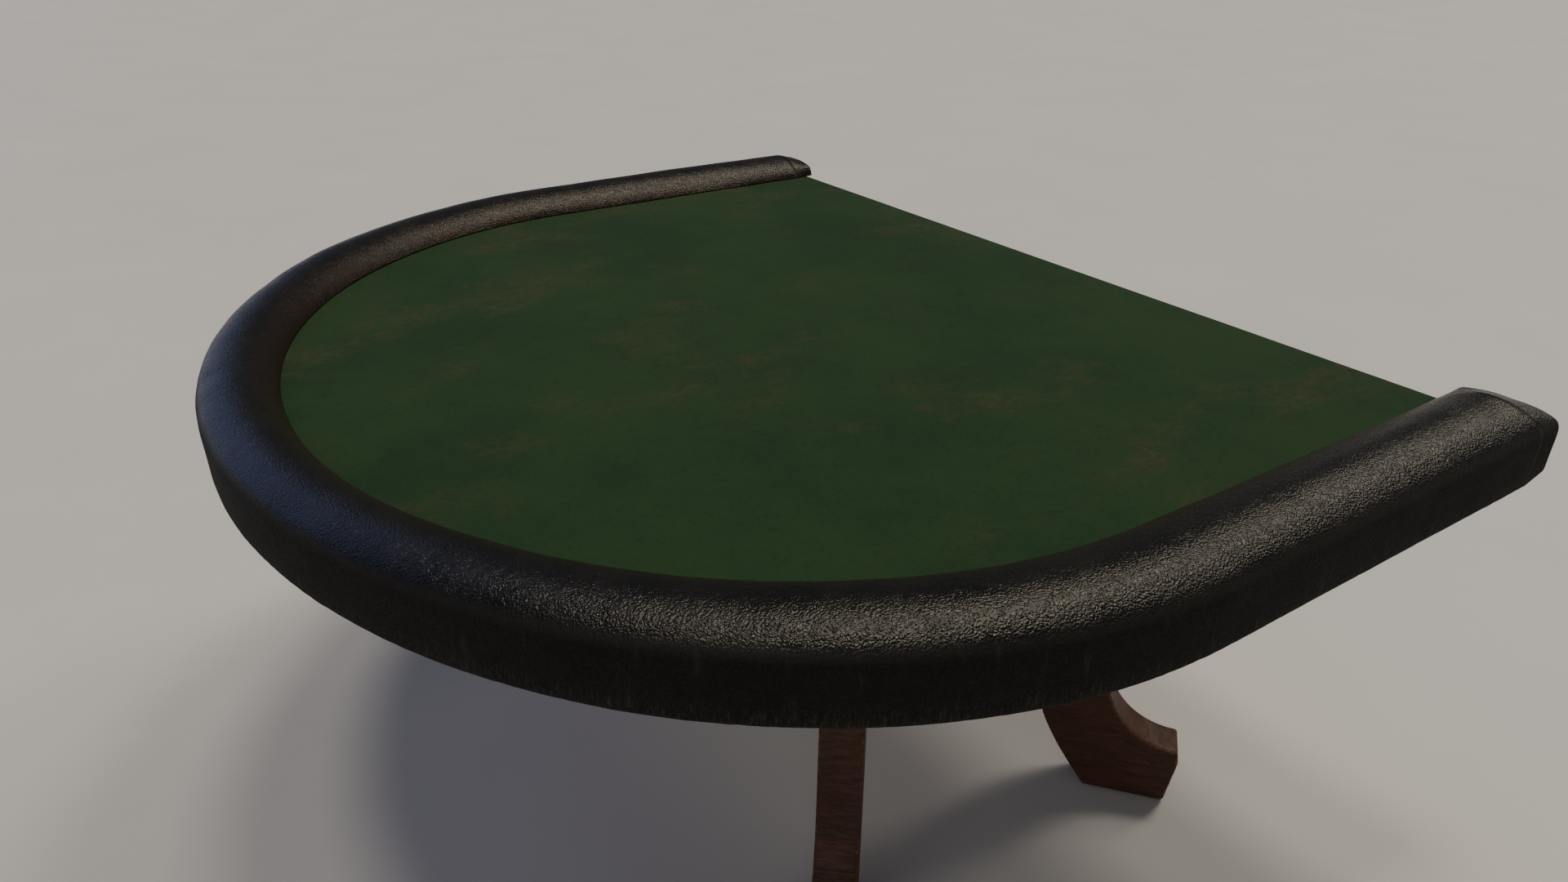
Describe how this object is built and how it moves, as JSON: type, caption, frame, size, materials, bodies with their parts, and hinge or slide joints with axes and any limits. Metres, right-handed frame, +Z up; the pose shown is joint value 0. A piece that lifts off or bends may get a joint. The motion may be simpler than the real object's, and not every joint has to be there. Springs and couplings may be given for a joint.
{
  "type": "blackjack table",
  "caption": "D-shaped card table: green felt top with a straight dealer's edge, a padded black leather armrest round the curved side, and splayed wooden sabre legs on levelling feet.",
  "frame": {"origin": "on the floor, under the middle of the table's plan box", "axes": "+Z up, +Y towards the dealer's straight edge, -Y towards the players' curved side, +X to the dealer's left"},
  "size_m": [1.828, 1.459, 0.8026],
  "materials": {
    "felt": "dark green napped wool cloth",
    "underlay_foam": "closed-cell foam",
    "rail_foam": "upholstery foam",
    "leather": "black pebbled leather, satin",
    "plywood": "birch plywood, unfinished",
    "frame_timber": "oiled hardwood",
    "leg_timber": "dark mahogany stain, satin varnish, worn edges",
    "steel": "zinc-plated steel",
    "plated_steel": "yellow-passivated steel",
    "nylon": "moulded black nylon"
  },
  "bodies": {
    "table": {"apron_back": "frame_timber", "apron_front": "frame_timber", "apron_left": "frame_timber", "apron_right": "frame_timber", "apron_screws": "steel", "beam_back": "frame_timber", "beam_front": "frame_timber", "corner_block_back_left": "frame_timber", "corner_block_back_right": "frame_timber", "corner_block_front_left": "frame_timber", "corner_block_front_right": "frame_timber", "cover_staples": "steel", "deck_board": "plywood", "deck_screws": "steel", "felt_cloth": "felt", "felt_staples": "steel", "foam_underlay": "underlay_foam", "leg_back_left": "leg_timber", "leg_back_right": "leg_timber", "leg_bolts": "steel", "leg_front_left": "leg_timber", "leg_front_right": "leg_timber", "leg_inserts": "plated_steel", "leg_washers": "steel", "leveller_inserts": "plated_steel", "rail_base": "plywood", "rail_bolts": "steel", "rail_cover": "leather", "rail_end_block_left": "leather", "rail_end_block_right": "leather", "rail_end_screws": "steel", "rail_foam": "rail_foam", "rail_skirt": "frame_timber", "rail_tee_nuts": "plated_steel", "rail_washers": "steel", "rib_centre": "frame_timber", "rib_left": "frame_timber", "rib_right": "frame_timber"},
    "foot_back_right": {"leveller_pad_back_right": "nylon", "leveller_stem_back_right": "steel"},
    "foot_front_right": {"leveller_pad_front_right": "nylon", "leveller_stem_front_right": "steel"},
    "foot_back_left": {"leveller_pad_back_left": "nylon", "leveller_stem_back_left": "steel"},
    "foot_front_left": {"leveller_pad_front_left": "nylon", "leveller_stem_front_left": "steel"}
  },
  "joints": [
    {"name": "level_back_right", "type": "slide", "parent": "table", "child": "foot_back_right", "axis": [0, 0, -1], "range_m": [0, 0.012]},
    {"name": "level_front_right", "type": "slide", "parent": "table", "child": "foot_front_right", "axis": [0, 0, -1], "range_m": [0, 0.012]},
    {"name": "level_back_left", "type": "slide", "parent": "table", "child": "foot_back_left", "axis": [0, 0, -1], "range_m": [0, 0.012]},
    {"name": "level_front_left", "type": "slide", "parent": "table", "child": "foot_front_left", "axis": [0, 0, -1], "range_m": [0, 0.012]}
  ]
}
